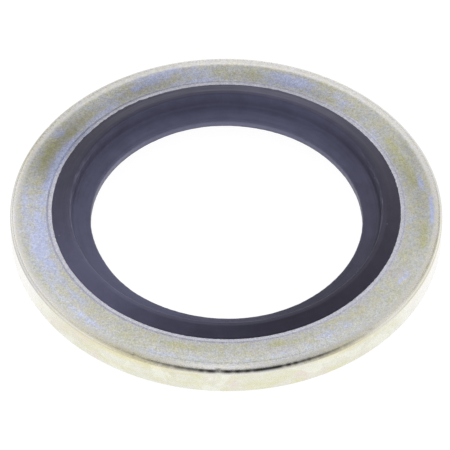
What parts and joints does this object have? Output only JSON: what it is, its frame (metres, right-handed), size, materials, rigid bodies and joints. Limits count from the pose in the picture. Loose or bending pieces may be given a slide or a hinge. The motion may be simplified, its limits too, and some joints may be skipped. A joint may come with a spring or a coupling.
{
  "type": "bonded sealing washer",
  "caption": "Self-centring bonded sealing washer: a flat plated steel ring with a rubber seal moulded into its bore, to seal under a threaded fitting or bolt head.",
  "frame": {"origin": "on the bore axis at half the steel ring's thickness", "axes": "+Z along the bore axis, out of the face with the rounded outer rim; X and Y in the plane of the ring"},
  "size_m": [0.024, 0.024, 0.002],
  "materials": {
    "passivated_steel": "yellow-passivated zinc plate, fine-grained and mottled olive, straw and pale blue",
    "nitrile_rubber": "matt moulded black, faintly violet"
  },
  "bodies": {
    "root": {"steel_ring": "passivated_steel", "rubber_seal": "nitrile_rubber"}
  },
  "joints": []
}
